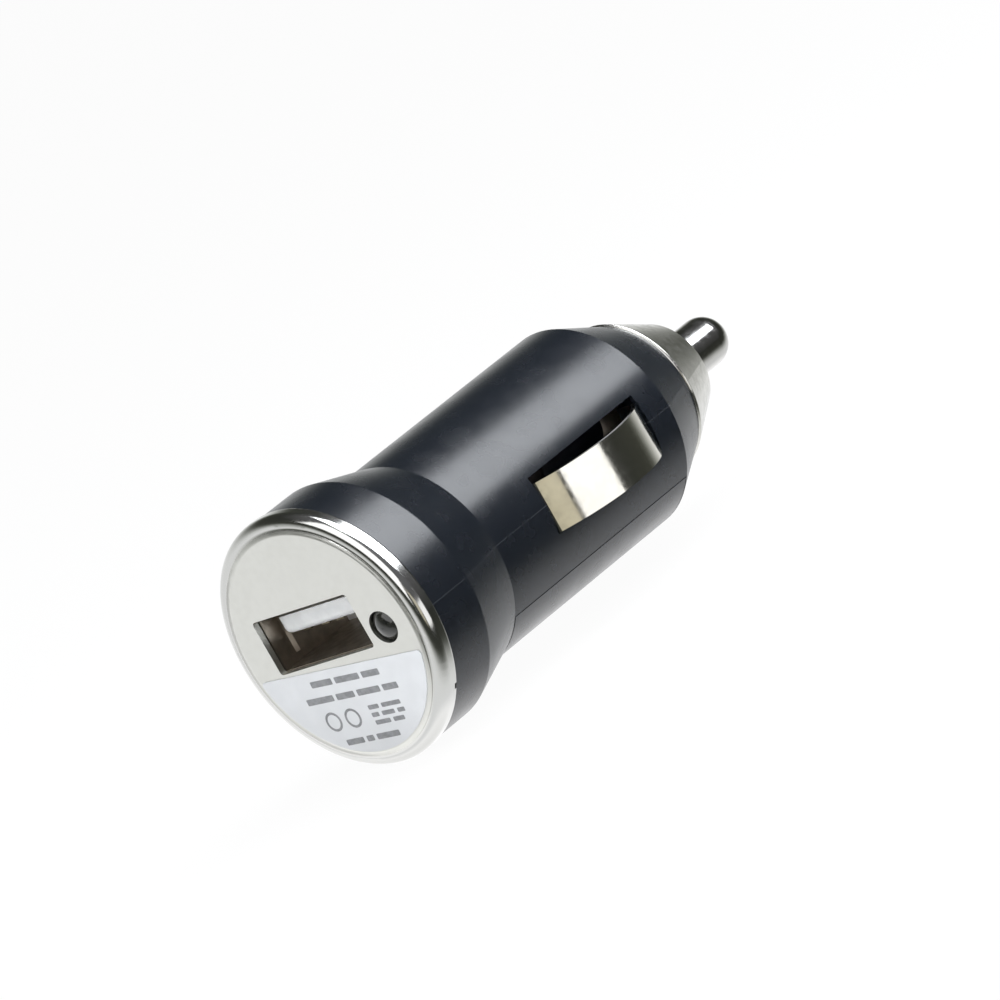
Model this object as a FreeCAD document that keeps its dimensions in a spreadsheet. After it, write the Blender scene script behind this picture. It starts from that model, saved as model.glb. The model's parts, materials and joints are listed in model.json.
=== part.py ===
import FreeCAD, Part
import math
import os
import Sketcher
from FreeCAD import Placement, Rotation, Vector
from types import SimpleNamespace

# Car charger that plugs into a lighter socket and gives one USB port.
# The axis runs along Y, from the face with the port towards the centre contact.
# The port's long side lies along X, the lamp is on +X and the label below, at -Z.
# Stations along the axis are measured from the face. Every piece is then moved back
# by the head's length, so the origin is on the axis where the barrel starts.

# Driving sizes in millimetres and degrees
SIZES = {
    # Housing
    "head_length": 13.3,
    "collar_radius": 12.2,
    "collar_end": 6.9,
    "collar_edge_round": 0.4,
    "barrel_radius": 10.25,
    "barrel_length": 25.9,
    "housing_wall": 1.5,
    "nose_length": 5.7,
    "nose_radius": 7.53,
    "nose_bore_radius": 3.8,
    "thread_radius": 5.0,
    "thread_length": 2.5,
    "rail_depth": 1.6,
    "rail_height": 1.0,
    "rail_length": 5.6,
    "root_depth": 0.4,
    # Cover on the label side
    "cover_angle": 100.0,
    "seam_gap": 0.12,
    "cover_hook_width": 8.0,
    "cover_hook_reach": 1.2,
    "cover_hook_height": 0.9,
    # End cap
    "cap_overhang": 0.16,
    "cap_length": 2.0,
    "cap_wall": 0.5,
    "cap_face_step": 0.12,
    "cap_ledge_width": 0.3,
    "cap_edge_round": 0.95,
    "cap_rear_round": 0.25,
    "cap_clearance": 0.06,
    "rim_notch_angle": 37.0,
    "rim_notch_width": 0.6,
    "rim_notch_length": 0.4,
    # Label on the face
    "label_margin": 0.51,
    "label_top": 2.2,
    "label_corner": 0.4,
    "label_tilt": 3.6,
    "label_thickness": 0.08,
    # Ring on the nose
    "ring_length": 5.97,
    "ring_tip_radius": 4.66,
    "ring_tip_round": 0.3,
    "ring_lip": 0.1,
    "ring_lip_round": 0.25,
    "ring_end_wall": 1.5,
    "thread_clearance": 0.08,
    # Centre contact and its spring
    "pin_radius": 2.4,
    "pin_clearance": 0.15,
    "pin_reach": 7.63,
    "flange_radius": 3.4,
    "flange_thickness": 1.2,
    "stop_gap": 0.05,
    "guide_radius": 1.9,
    "guide_length": 1.5,
    "spring_radius": 2.6,
    "spring_wire": 0.5,
    "spring_turns": 5.0,
    "spring_end_gap": 0.02,
    "seat_radius": 3.2,
    "seat_thickness": 0.6,
    "seat_tab_length": 1.6,
    "seat_tab_width": 2.4,
    # Side contacts
    "slot_offset": 7.4,
    "slot_length": 15.5,
    "slot_width": 5.7,
    "contact_width": 4.9,
    "contact_drop": 0.28,
    "contact_end_gap": 0.12,
    "contact_thickness": 0.4,
    "contact_rise": 3.2,
    "contact_bow_radius": 10.1,
    "contact_head_bend": 0.6,
    "contact_nose_bend": 1.0,
    "contact_foot_reach": 0.5,
    "contact_foot_gap": 0.06,
    # Port
    "usb_side": 1.2,
    "usb_height": 1.2,
    "usb_opening_width": 12.5,
    "usb_opening_height": 5.12,
    "usb_cutout_margin": 0.1,
    "usb_cutout_corner": 0.35,
    "usb_shell_wall": 0.3,
    "usb_shell_length": 12.0,
    "usb_shell_recess": 0.1,
    "side_spring_setback": 2.0,
    "side_spring_length": 5.0,
    "side_spring_bend": 0.4,
    "side_spring_width": 3.6,
    "side_spring_rise": 0.2,
    "usb_block_length": 3.0,
    "usb_block_gap": 0.05,
    "tongue_width": 11.1,
    "tongue_thickness": 1.84,
    "tongue_gap": 0.7,
    "tongue_recess": 2.0,
    "tongue_corner": 0.6,
    "tongue_lead_in": 0.7,
    "strip_width": 1.0,
    "strip_thickness": 0.2,
    "strip_inner_offset": 1.0,
    "strip_outer_offset": 3.5,
    "strip_setback": 0.8,
    # Lamp
    "led_port_gap": 0.51,
    "led_radius": 1.45,
    "led_dome_radius": 1.9,
    "led_hole_clearance": 0.1,
    "led_stand": 0.25,
    "led_length": 5.2,
    "led_flange_radius": 1.6,
    "led_flange_thickness": 0.8,
    "led_lead_width": 0.5,
    "led_lead_spacing": 1.6,
    "led_lead_run": 1.6,
    # Board
    "board_front": 2.6,
    "board_width": 16.2,
    "board_narrow_width": 9.2,
    "board_notch_gap": 0.8,
    "board_length": 37.4,
    "board_thickness": 1.2,
    # Choke
    "choke_station": 24.6,
    "choke_radius": 3.5,
    "choke_height": 5.0,
    "choke_flange": 0.9,
    "choke_waist_radius": 1.9,
    "winding_radius": 3.1,
    "winding_gap": 0.05,
    # Capacitor cans
    "can_edge_round": 0.4,
    "input_can_station": 29.0,
    "input_can_radius": 3.0,
    "input_can_length": 9.0,
    "output_can_station": 17.4,
    "output_can_radius": 2.5,
    "output_can_height": 6.0,
    # Converter and small parts under the board
    "chip_station": 22.6,
    "chip_length": 4.9,
    "chip_width": 3.9,
    "chip_height": 1.5,
    "chip_lift": 0.1,
    "chip_bevel": 0.2,
    "chip_lead_pitch": 1.27,
    "chip_lead_width": 0.4,
    "chip_lead_reach": 1.05,
    "chip_lead_thickness": 0.2,
    "diode_station": 30.6,
    "diode_length": 4.3,
    "diode_width": 2.6,
    "diode_height": 2.1,
    "resistor_station": 17.0,
    "resistor_length": 1.6,
    "resistor_width": 0.8,
    "resistor_height": 0.45,
    "resistor_pitch": 1.9,
    "ceramic_station": 36.4,
    "ceramic_length": 2.0,
    "ceramic_width": 1.25,
    "ceramic_height": 0.85,
    "ceramic_pitch": 2.4,
}
RESISTOR_COUNT = 4
CERAMIC_COUNT = 3
CHIP_LEADS_A_SIDE = 4


class Size:
    """A size that knows its value and the formula in the sheet that gives it."""

    def __init__(self, value, formula):
        self.value = value
        self.formula = formula

    def __add__(self, other):
        other = as_size(other)
        return Size(self.value + other.value, f"({self.formula} + {other.formula})")

    def __sub__(self, other):
        other = as_size(other)
        return Size(self.value - other.value, f"({self.formula} - {other.formula})")

    def __mul__(self, other):
        other = as_size(other)
        return Size(self.value * other.value, f"({self.formula} * {other.formula})")

    def __truediv__(self, other):
        other = as_size(other)
        return Size(self.value / other.value, f"({self.formula} / {other.formula})")

    def __neg__(self):
        return Size(-self.value, f"(0 - {self.formula})")


def as_size(value):
    """Let a plain number stand in a formula."""
    return value if isinstance(value, Size) else Size(float(value), repr(float(value)))


def root(size):
    return Size(math.sqrt(size.value), f"sqrt({size.formula})")


def sine(angle):
    return Size(math.sin(math.radians(angle.value)), f"sin({angle.formula} * 1 deg)")


def cosine(angle):
    return Size(math.cos(math.radians(angle.value)), f"cos({angle.formula} * 1 deg)")


doc = FreeCAD.newDocument("car_usb_charger")
sheet = doc.addObject("Spreadsheet::Sheet", "Sizes")
for row, (alias, number) in enumerate(SIZES.items(), start=1):
    sheet.set(f"A{row}", alias)
    sheet.set(f"B{row}", str(number))
    sheet.setAlias(f"B{row}", alias)
doc.recompute()
mm = SimpleNamespace(**{alias: Size(number, f"Sizes.{alias}") for alias, number in SIZES.items()})

ZERO = as_size(0)
# Points nearer than this lie at the same place
SAME_PLACE = 1e-4
# Turns the Z direction of a primitive into the charger's axis
ALONG_AXIS = Rotation(Vector(1, 0, 0), -90)
# Turns a piece made on +X to the label side
TO_LABEL_SIDE = Rotation(Vector(0, 1, 0), 90)
TO_LEFT_SIDE = Rotation(Vector(0, 1, 0), 180)
NO_TURN = Rotation()

# Stations and levels that several pieces share
barrel_end = mm.head_length + mm.barrel_length
nose_end = barrel_end + mm.nose_length
ring_end = nose_end + mm.ring_length
stop_station = ring_end - mm.ring_end_wall
flange_front = stop_station - mm.stop_gap
flange_rear = flange_front - mm.flange_thickness
board_end = mm.board_front + mm.board_length
seat_front = board_end + mm.seat_thickness
slot_start = mm.head_length + mm.slot_offset
slot_end = slot_start + mm.slot_length
cap_radius = mm.collar_radius + mm.cap_overhang
cap_inside = mm.cap_face_step + mm.cap_wall
cap_round_end = mm.cap_face_step + mm.cap_edge_round
cap_ledge_radius = cap_radius - mm.cap_edge_round
cap_face_radius = cap_ledge_radius - mm.cap_ledge_width
cavity_radius = mm.barrel_radius - mm.housing_wall
shell_front = cap_inside + mm.usb_shell_recess
usb_floor = mm.usb_height - mm.usb_opening_height / 2
usb_roof = mm.usb_height + mm.usb_opening_height / 2
board_top = usb_floor - mm.usb_shell_wall
board_bottom = board_top - mm.board_thickness
tongue_top = usb_roof - mm.tongue_gap
tongue_bottom = tongue_top - mm.tongue_thickness
# The lamp's flange stands beside the port's sleeve
port_edge = mm.usb_opening_width / 2 + mm.usb_shell_wall - mm.usb_side
led_side = port_edge + mm.led_port_gap + mm.led_flange_radius
led_base = mm.led_length - mm.led_stand

finished = []


def bind(thing, prop, size):
    thing.setExpression(prop, as_size(size).formula)


def finish(thing, label, turn=None):
    """Name a finished piece. A body is also moved so that the origin is at the barrel's start."""
    thing.Label = label
    if turn is not None:
        thing.Placement = Placement(Vector(), turn)
        bind(thing, "Placement.Base.y", -mm.head_length)
    finished.append(thing)


def new_body(name):
    return doc.addObject("PartDesign::Body", name + "_body")


def new_sketch(body, name, role, offset=None):
    """A sketch on one of the body's own planes, moved along the plane's normal."""
    sketch = body.newObject("Sketcher::SketchObject", name)
    plane = next(feature for feature in body.Origin.OriginFeatures if feature.Role == role)
    sketch.AttachmentSupport = (plane, [""])
    sketch.MapMode = "FlatFace"
    if offset is not None:
        bind(sketch, "AttachmentOffset.Base.z", offset)
    return sketch


def constrain(sketch, kind, where, size):
    index = sketch.addConstraint(Sketcher.Constraint(kind, *where, size.value))
    sketch.setExpression(f"Constraints[{index}]", size.formula)


def arc_between(start, end, radius, turn):
    """The short arc from start to end. turn is 1 anticlockwise and -1 clockwise."""
    chord = end - start
    across = Vector(-chord.y, chord.x, 0).normalize()
    depth = math.sqrt(max(radius**2 - (chord.Length / 2) ** 2, 0))
    centre = (start + end) / 2 + across * depth * turn
    first, last = (start, end) if turn > 0 else (end, start)
    angles = [math.atan2(point.y - centre.y, point.x - centre.x) for point in (first, last)]
    return Part.ArcOfCircle(Part.Circle(centre, Vector(0, 0, 1), radius), *angles)


def outline(sketch, corners):
    """A closed outline. A corner is (x, y), or (x, y, radius, turn) when an arc leads to it."""
    corners = [(as_size(corner[0]), as_size(corner[1]), *corner[2:]) for corner in corners]
    points = [Vector(corner[0].value, corner[1].value, 0) for corner in corners]
    edges = []
    for number, corner in enumerate(corners):
        start, end = points[number - 1], points[number]
        if len(corner) == 2:
            edges.append((sketch.addGeometry(Part.LineSegment(start, end), False), 1, 2))
            continue
        radius, turn = corner[2:]
        arc = sketch.addGeometry(arc_between(start, end, radius.value, turn), False)
        edges.append((arc, 1, 2) if turn > 0 else (arc, 2, 1))
        constrain(sketch, "Radius", (arc,), radius)
    for number, corner in enumerate(corners):
        edge, _, last = edges[number]
        following, first, _ = edges[(number + 1) % len(edges)]
        sketch.addConstraint(Sketcher.Constraint("Coincident", edge, last, following, first))
        constrain(sketch, "DistanceX", (-1, 1, edge, last), corner[0])
        constrain(sketch, "DistanceY", (-1, 1, edge, last), corner[1])


def circle(sketch, x, y, radius):
    x, y = as_size(x), as_size(y)
    edge = sketch.addGeometry(Part.Circle(Vector(x.value, y.value, 0), Vector(0, 0, 1), radius.value), False)
    constrain(sketch, "Radius", (edge,), radius)
    constrain(sketch, "DistanceX", (-1, 1, edge, 3), x)
    constrain(sketch, "DistanceY", (-1, 1, edge, 3), y)


def rectangle(x, y, width, height):
    """Corners of a rectangle centred on (x, y)."""
    x, y = as_size(x), as_size(y)
    left, right = x - width / 2, x + width / 2
    low, high = y - height / 2, y + height / 2
    return [(left, low), (right, low), (right, high), (left, high)]


def rounded_rectangle(x, y, width, height, corner):
    x, y = as_size(x), as_size(y)
    left, right = x - width / 2, x + width / 2
    low, high = y - height / 2, y + height / 2
    return [
        (right - corner, low),
        (right, low + corner, corner, 1),
        (right, high - corner),
        (right - corner, high, corner, 1),
        (left + corner, high),
        (left, high - corner, corner, 1),
        (left, low + corner),
        (left + corner, low, corner, 1),
    ]


def turned(body, name, corners, angle=None):
    """A revolution about the charger's axis of corners given as (radius, station)."""
    sketch = new_sketch(body, name + "_profile", "XY_Plane")
    outline(sketch, corners)
    turning = body.newObject("PartDesign::Revolution", name)
    turning.Profile = sketch
    turning.ReferenceAxis = (sketch, ["V_Axis"])
    if angle is None:
        turning.Angle = 360
    else:
        turning.Midplane = True
        bind(turning, "Angle", angle)
    return turning


def extrude(body, kind, name, sketch, length, reverse=False, both_ways=False):
    feature = body.newObject("PartDesign::" + kind, name)
    feature.Profile = sketch
    feature.Reversed = reverse
    if both_ways:
        feature.SideType = "Symmetric"
    bind(feature, "Length", length)
    return feature


def box(name, size, corner):
    """A block placed by its low corner, with the station measured from the face."""
    block = doc.addObject("Part::Box", name)
    for prop, length in zip(("Length", "Width", "Height"), size):
        bind(block, prop, length)
    place(block, *corner)
    return block


def cylinder(name, radius, length, x, station, z, turn=NO_TURN):
    rod = doc.addObject("Part::Cylinder", name)
    bind(rod, "Radius", radius)
    bind(rod, "Height", length)
    rod.Placement = Placement(Vector(), turn)
    place(rod, x, station, z)
    return rod


def place(thing, x, station, z):
    bind(thing, "Placement.Base.x", x)
    bind(thing, "Placement.Base.y", as_size(station) - mm.head_length)
    bind(thing, "Placement.Base.z", z)


def combine(kind, name, base, tool):
    joined = doc.addObject("Part::" + kind, name)
    joined.Base = base
    joined.Tool = tool
    return joined


def group(name, pieces):
    gathered = doc.addObject("Part::Compound", name)
    gathered.Links = pieces
    return gathered


def edges_at(feature, wanted):
    """Names of the edges whose middle point passes the test."""
    names = []
    for number, edge in enumerate(feature.Shape.Edges, start=1):
        if wanted(edge.valueAt((edge.FirstParameter + edge.LastParameter) / 2)):
            names.append(f"Edge{number}")
    return names


def main_housing():
    """Moulded shell: spigot for the cap, collar, neck, barrel, nose cone and threaded nose."""
    body = new_body("main_housing")
    spigot_radius = cap_radius - mm.cap_wall - mm.cap_clearance
    head_cavity_radius = mm.collar_radius - mm.housing_wall
    bulkhead = nose_end - mm.housing_wall
    thread_end = nose_end + mm.thread_length
    # The nose cavity keeps the wall's thickness inside the cone
    nose_slope = (mm.barrel_radius - mm.nose_radius) / mm.nose_length
    nose_cavity_radius = mm.nose_radius + nose_slope * mm.housing_wall - mm.housing_wall
    # The spigot's rim follows the rounding inside the cap
    spigot_round = mm.cap_edge_round - mm.cap_wall
    shell = turned(body, "shell", [
        (spigot_radius - spigot_round, cap_inside),
        (spigot_radius, cap_round_end, spigot_round, 1),
        (spigot_radius, mm.cap_length),
        (mm.collar_radius, mm.cap_length),
        (mm.collar_radius, mm.collar_end),
        (mm.barrel_radius, mm.head_length),
        (mm.barrel_radius, barrel_end),
        (mm.nose_radius, nose_end),
        (mm.thread_radius, nose_end),
        (mm.thread_radius, thread_end),
        (mm.nose_bore_radius, thread_end),
        (mm.nose_bore_radius, bulkhead),
        (nose_cavity_radius, bulkhead),
        (cavity_radius, barrel_end),
        (cavity_radius, mm.head_length),
        (head_cavity_radius, mm.collar_end),
        (head_cavity_radius, cap_inside),
    ])
    doc.recompute()
    rounding = body.newObject("PartDesign::Fillet", "collar_rounding")

    def on_collar_edge(middle):
        radius = math.hypot(middle.x, middle.z)
        at_radius = math.isclose(radius, mm.collar_radius.value, abs_tol=SAME_PLACE)
        return at_radius and math.isclose(middle.y, mm.collar_end.value, abs_tol=SAME_PLACE)

    rounding.Base = (shell, edges_at(shell, on_collar_edge))
    bind(rounding, "Radius", mm.collar_edge_round)

    window = new_sketch(body, "cover_window_outline", "XZ_Plane", -mm.head_length)
    half_angle = mm.cover_angle / 2
    # The wedge reaches past the barrel's surface at its middle
    reach = mm.barrel_radius / cosine(half_angle) + mm.housing_wall
    outline(window, [
        (0, 0),
        (-(reach * sine(half_angle)), -(reach * cosine(half_angle))),
        (reach * sine(half_angle), -(reach * cosine(half_angle))),
    ])
    extrude(body, "Pocket", "cover_window", window, mm.barrel_length)

    slots = new_sketch(body, "contact_slots_outline", "YZ_Plane")
    outline(slots, rectangle(slot_start + mm.slot_length / 2, 0, mm.slot_length, mm.slot_width))
    extrude(body, "Pocket", "contact_slots", slots, mm.collar_radius * 2, both_ways=True)

    # Ledges that the board's edges lie on
    rail_outer = cavity_radius + mm.root_depth
    rail_inner = mm.board_width / 2 - mm.rail_depth / 2
    for side, name in ((1, "right_rail"), (-1, "left_rail")):
        rail = new_sketch(body, name + "_outline", "XZ_Plane", -(slot_start - mm.board_notch_gap))
        centre = (rail_inner + rail_outer) / 2 * side
        outline(rail, rectangle(centre, board_bottom - mm.rail_height / 2,
                                rail_outer - rail_inner, mm.rail_height))
        extrude(body, "Pad", name, rail, mm.rail_length)
    finish(body, "main_housing", NO_TURN)


def housing_cover():
    """Sector of the barrel on the label side, with two hooks that go under the housing's wall."""
    body = new_body("housing_cover")
    # The seam is a gap of even width on the barrel's surface
    gap_angle = mm.seam_gap / mm.barrel_radius * (180 / math.pi)
    turned(body, "sector", [
        (cavity_radius, mm.head_length + mm.seam_gap),
        (mm.barrel_radius, mm.head_length + mm.seam_gap),
        (mm.barrel_radius, barrel_end - mm.seam_gap),
        (cavity_radius, barrel_end - mm.seam_gap),
    ], mm.cover_angle - gap_angle * 2)
    # The flat hooks lie inside the round cavity, clear of its wall by the seam's gap
    hook_corner = cavity_radius - mm.seam_gap
    hook_half = mm.cover_hook_width / 2
    hook_top = root(hook_corner * hook_corner - hook_half * hook_half)
    root_top = cavity_radius + mm.root_depth
    hooks = new_sketch(body, "hooks_profile", "XY_Plane")
    head_root = mm.head_length + mm.seam_gap * 2
    outline(hooks, [
        (hook_top - mm.cover_hook_height, head_root - mm.cover_hook_reach),
        (hook_top, head_root - mm.cover_hook_reach),
        (hook_top, head_root),
        (root_top, head_root),
        (root_top, head_root + mm.cover_hook_reach),
        (hook_top - mm.cover_hook_height, head_root + mm.cover_hook_reach),
    ])
    extrude(body, "Pad", "hooks", hooks, mm.cover_hook_width, both_ways=True)
    finish(body, "housing_cover", TO_LABEL_SIDE)


def end_cap():
    """Pressed cup over the housing's spigot: a raised face, a narrow ledge and a rounded rim."""
    body = new_body("end_cap")
    inner_radius = cap_radius - mm.cap_wall
    rear = mm.cap_length
    turned(body, "cup", [
        (0, 0),
        (cap_face_radius, 0),
        (cap_face_radius, mm.cap_face_step),
        (cap_ledge_radius, mm.cap_face_step),
        (cap_radius, cap_round_end, mm.cap_edge_round, 1),
        (cap_radius, rear - mm.cap_rear_round),
        (cap_radius - mm.cap_rear_round, rear, mm.cap_rear_round, 1),
        (inner_radius, rear),
        (inner_radius, cap_round_end),
        (cap_ledge_radius, cap_inside, mm.cap_edge_round - mm.cap_wall, -1),
        (0, cap_inside),
    ])
    through = cap_inside + mm.cap_wall
    port = new_sketch(body, "port_cutout_outline", "XZ_Plane")
    outline(port, rounded_rectangle(
        -mm.usb_side, mm.usb_height,
        mm.usb_opening_width + mm.usb_cutout_margin * 2,
        mm.usb_opening_height + mm.usb_cutout_margin * 2,
        mm.usb_cutout_corner))
    extrude(body, "Pocket", "port_cutout", port, through)
    lamp = new_sketch(body, "lamp_hole_outline", "XZ_Plane")
    circle(lamp, led_side, 0, mm.led_radius + mm.led_hole_clearance)
    extrude(body, "Pocket", "lamp_hole", lamp, through)

    # Notch in the rear edge, on the lamp's side towards the label
    notch = new_sketch(body, "rim_notch_outline", "XZ_Plane", -rear)
    across, along = sine(mm.rim_notch_angle), cosine(mm.rim_notch_angle)
    half = mm.rim_notch_width / 2
    corners = []
    for radius, side in ((inner_radius - half, -half), (cap_radius + half, -half),
                         (cap_radius + half, half), (inner_radius - half, half)):
        corners.append((radius * along + side * across, side * along - radius * across))
    outline(notch, corners)
    extrude(body, "Pocket", "rim_notch", notch, mm.rim_notch_length, reverse=True)
    finish(body, "end_cap", NO_TURN)


def face_label():
    """Thin sticker: a round segment below the port, stuck on at a slight tilt."""
    body = new_body("face_label")
    sketch = new_sketch(body, "label_outline", "XZ_Plane")
    radius = cap_face_radius - mm.label_margin
    corner = mm.label_corner
    side_drop = mm.label_top + corner
    side = root(radius * radius - side_drop * side_drop)
    outline(sketch, [
        (-(side - corner), -mm.label_top),
        (-side, -side_drop, corner, 1),
        (0, -radius, radius, 1),
        (side, -side_drop, radius, 1),
        (side - corner, -mm.label_top, corner, 1),
    ])
    extrude(body, "Pad", "sticker", sketch, mm.label_thickness)
    finish(body, "face_label", Rotation(Vector(0, 1, 0), mm.label_tilt.value))
    bind(body, "Placement.Rotation.Angle", mm.label_tilt)


def nose_ring():
    """Turned ring with a rounded lip that carries on the nose cone and keeps the centre contact in."""
    body = new_body("nose_ring")
    socket_radius = mm.thread_radius + mm.thread_clearance
    socket_end = nose_end + mm.thread_length + mm.thread_clearance
    hole_radius = mm.pin_radius + mm.pin_clearance
    lip_radius = mm.nose_radius + mm.ring_lip
    slope = (lip_radius - mm.ring_tip_radius) / (mm.ring_length - mm.ring_lip_round)
    tip_round = mm.ring_tip_round
    turned(body, "ring", [
        (lip_radius - mm.ring_lip_round, nose_end),
        (lip_radius, nose_end + mm.ring_lip_round, mm.ring_lip_round, 1),
        (mm.ring_tip_radius + slope * tip_round, ring_end - tip_round),
        (mm.ring_tip_radius - tip_round, ring_end),
        (hole_radius, ring_end),
        (hole_radius, stop_station),
        (mm.nose_bore_radius, stop_station),
        (mm.nose_bore_radius, socket_end),
        (socket_radius, socket_end),
        (socket_radius, nose_end),
    ])
    finish(body, "nose_ring", NO_TURN)


def centre_contact():
    """Pin with a domed end, a flange that stops at the ring's wall and a guide for the spring."""
    body = new_body("centre_contact")
    tip = ring_end + mm.pin_reach
    turned(body, "pin", [
        (0, flange_rear - mm.guide_length),
        (mm.guide_radius, flange_rear - mm.guide_length),
        (mm.guide_radius, flange_rear),
        (mm.flange_radius, flange_rear),
        (mm.flange_radius, flange_front),
        (mm.pin_radius, flange_front),
        (mm.pin_radius, tip - mm.pin_radius),
        (0, tip, mm.pin_radius, 1),
    ])
    finish(body, "centre_contact", NO_TURN)


def tip_spring():
    """Coil between the seat on the board and the centre contact's flange."""
    coil_start = seat_front + mm.spring_wire / 2 + mm.spring_end_gap
    coil_length = flange_rear - seat_front - mm.spring_wire - mm.spring_end_gap * 2
    coil = doc.addObject("Part::Helix", "spring_coil")
    bind(coil, "Radius", mm.spring_radius)
    bind(coil, "Height", coil_length)
    bind(coil, "Pitch", coil_length / mm.spring_turns)
    wire = doc.addObject("Part::Circle", "spring_wire_section")
    bind(wire, "Radius", mm.spring_wire / 2)
    wire.Placement = Placement(Vector(), Rotation(Vector(1, 0, 0), 90))
    bind(wire, "Placement.Base.x", mm.spring_radius)
    spring = doc.addObject("Part::Sweep", "spring_sweep")
    spring.Sections = [wire]
    spring.Spine = (coil, [])
    spring.Solid = True
    spring.Frenet = True
    spring.Placement = Placement(Vector(), ALONG_AXIS)
    bind(spring, "Placement.Base.y", coil_start - mm.head_length)
    finish(spring, "tip_spring")


def spring_seat():
    """Plate across the end of the board, with a tab soldered on the board."""
    plate = cylinder("seat_plate", mm.seat_radius, mm.seat_thickness, ZERO, board_end, ZERO, ALONG_AXIS)
    tab = box("seat_tab", (mm.seat_tab_width, mm.seat_tab_length, mm.seat_thickness),
              (-mm.seat_tab_width / 2, board_end - mm.seat_tab_length, board_top))
    finish(combine("Fuse", "seat", plate, tab), "spring_seat")


def side_contact(name, turn):
    """Sprung leaf: a bow out of the slot, with a leg at each end and a foot behind the wall."""
    body = new_body(name)
    bow = mm.contact_bow_radius
    crest = mm.barrel_radius + mm.contact_rise
    middle = slot_start + mm.slot_length / 2
    bow_centre = crest - bow
    thickness = mm.contact_thickness
    # The feet lie flat inside the round cavity, so their outer edge sets their level
    far_edge = mm.contact_width / 2 + mm.contact_drop
    foot_top = root(cavity_radius * cavity_radius - far_edge * far_edge) - mm.contact_foot_gap
    foot_bottom = foot_top - thickness
    head_tip = slot_start - mm.contact_foot_reach
    nose_tip = slot_end + mm.contact_foot_reach

    def bend(leg_face, radius, towards):
        """Where a bend meets its leg and the bow, outside and then inside the leaf."""
        centre_station = leg_face + radius * towards
        from_middle = centre_station - middle
        reach = bow - radius
        centre_x = bow_centre + root(reach * reach - from_middle * from_middle)
        spots = []
        for inset in (ZERO, thickness):
            stretch = (bow - inset) / reach
            on_bow = (bow_centre + (centre_x - bow_centre) * stretch, middle + from_middle * stretch)
            on_leg = (centre_x, leg_face + inset * towards)
            spots.append((on_leg, on_bow, radius - inset))
        return spots

    head_face = slot_start + mm.contact_end_gap
    nose_face = slot_end - mm.contact_end_gap
    head_outside, head_inside = bend(head_face, mm.contact_head_bend, 1)
    nose_outside, nose_inside = bend(nose_face, mm.contact_nose_bend, -1)
    sketch = new_sketch(body, name + "_profile", "XY_Plane", -mm.contact_drop)
    outline(sketch, [
        (foot_bottom, head_tip),
        (foot_top, head_tip),
        (foot_top, head_face),
        head_outside[0],
        (*head_outside[1], head_outside[2], 1),
        (*nose_outside[1], bow, 1),
        (*nose_outside[0], nose_outside[2], 1),
        (foot_top, nose_face),
        (foot_top, nose_tip),
        (foot_bottom, nose_tip),
        (foot_bottom, nose_face - thickness),
        nose_inside[0],
        (*nose_inside[1], nose_inside[2], -1),
        (*head_inside[1], bow - thickness, -1),
        (*head_inside[0], head_inside[2], -1),
        (foot_bottom, head_face + thickness),
    ])
    extrude(body, "Pad", name + "_leaf", sketch, mm.contact_width, both_ways=True)
    finish(body, name, turn)


def circuit_board():
    """Board along the axis, wide in the head and narrow between the side contacts."""
    body = new_body("circuit_board")
    sketch = new_sketch(body, "board_outline", "XY_Plane", board_bottom)
    wide, narrow = mm.board_width / 2, mm.board_narrow_width / 2
    step = slot_start - mm.board_notch_gap
    outline(sketch, [
        (-wide, mm.board_front),
        (wide, mm.board_front),
        (wide, step),
        (narrow, step),
        (narrow, board_end),
        (-narrow, board_end),
        (-narrow, step),
        (-wide, step),
    ])
    extrude(body, "Pad", "board", sketch, mm.board_thickness)
    finish(body, "circuit_board", NO_TURN)


def usb_shell():
    """Folded metal sleeve round the port, soldered on the board."""
    body = new_body("usb_shell")
    sleeve = new_sketch(body, "sleeve_outline", "XZ_Plane", -shell_front)
    outline(sleeve, rectangle(-mm.usb_side, mm.usb_height,
                              mm.usb_opening_width + mm.usb_shell_wall * 2,
                              mm.usb_opening_height + mm.usb_shell_wall * 2))
    extrude(body, "Pad", "sleeve", sleeve, mm.usb_shell_length, reverse=True)
    opening = new_sketch(body, "opening_outline", "XZ_Plane", -shell_front)
    outline(opening, rectangle(-mm.usb_side, mm.usb_height, mm.usb_opening_width, mm.usb_opening_height))
    extrude(body, "Pocket", "opening", opening, mm.usb_shell_length)

    # Springs pressed in from the side walls, which grip the plug
    spring_front = shell_front + mm.side_spring_setback
    spring_end = spring_front + mm.side_spring_length
    for side, name in ((1, "right_spring"), (-1, "left_spring")):
        spring = new_sketch(body, name + "_profile", "XY_Plane", mm.usb_height)
        wall = mm.usb_opening_width / 2 * side - mm.usb_side
        crest = wall - mm.side_spring_rise * side
        base = wall + mm.usb_shell_wall / 2 * side
        outline(spring, [
            (base, spring_front),
            (wall, spring_front),
            (crest, spring_front + mm.side_spring_bend),
            (wall, spring_end),
            (base, spring_end),
        ])
        extrude(body, "Pad", name, spring, mm.side_spring_width, both_ways=True)
    finish(body, "usb_shell", NO_TURN)


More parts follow.
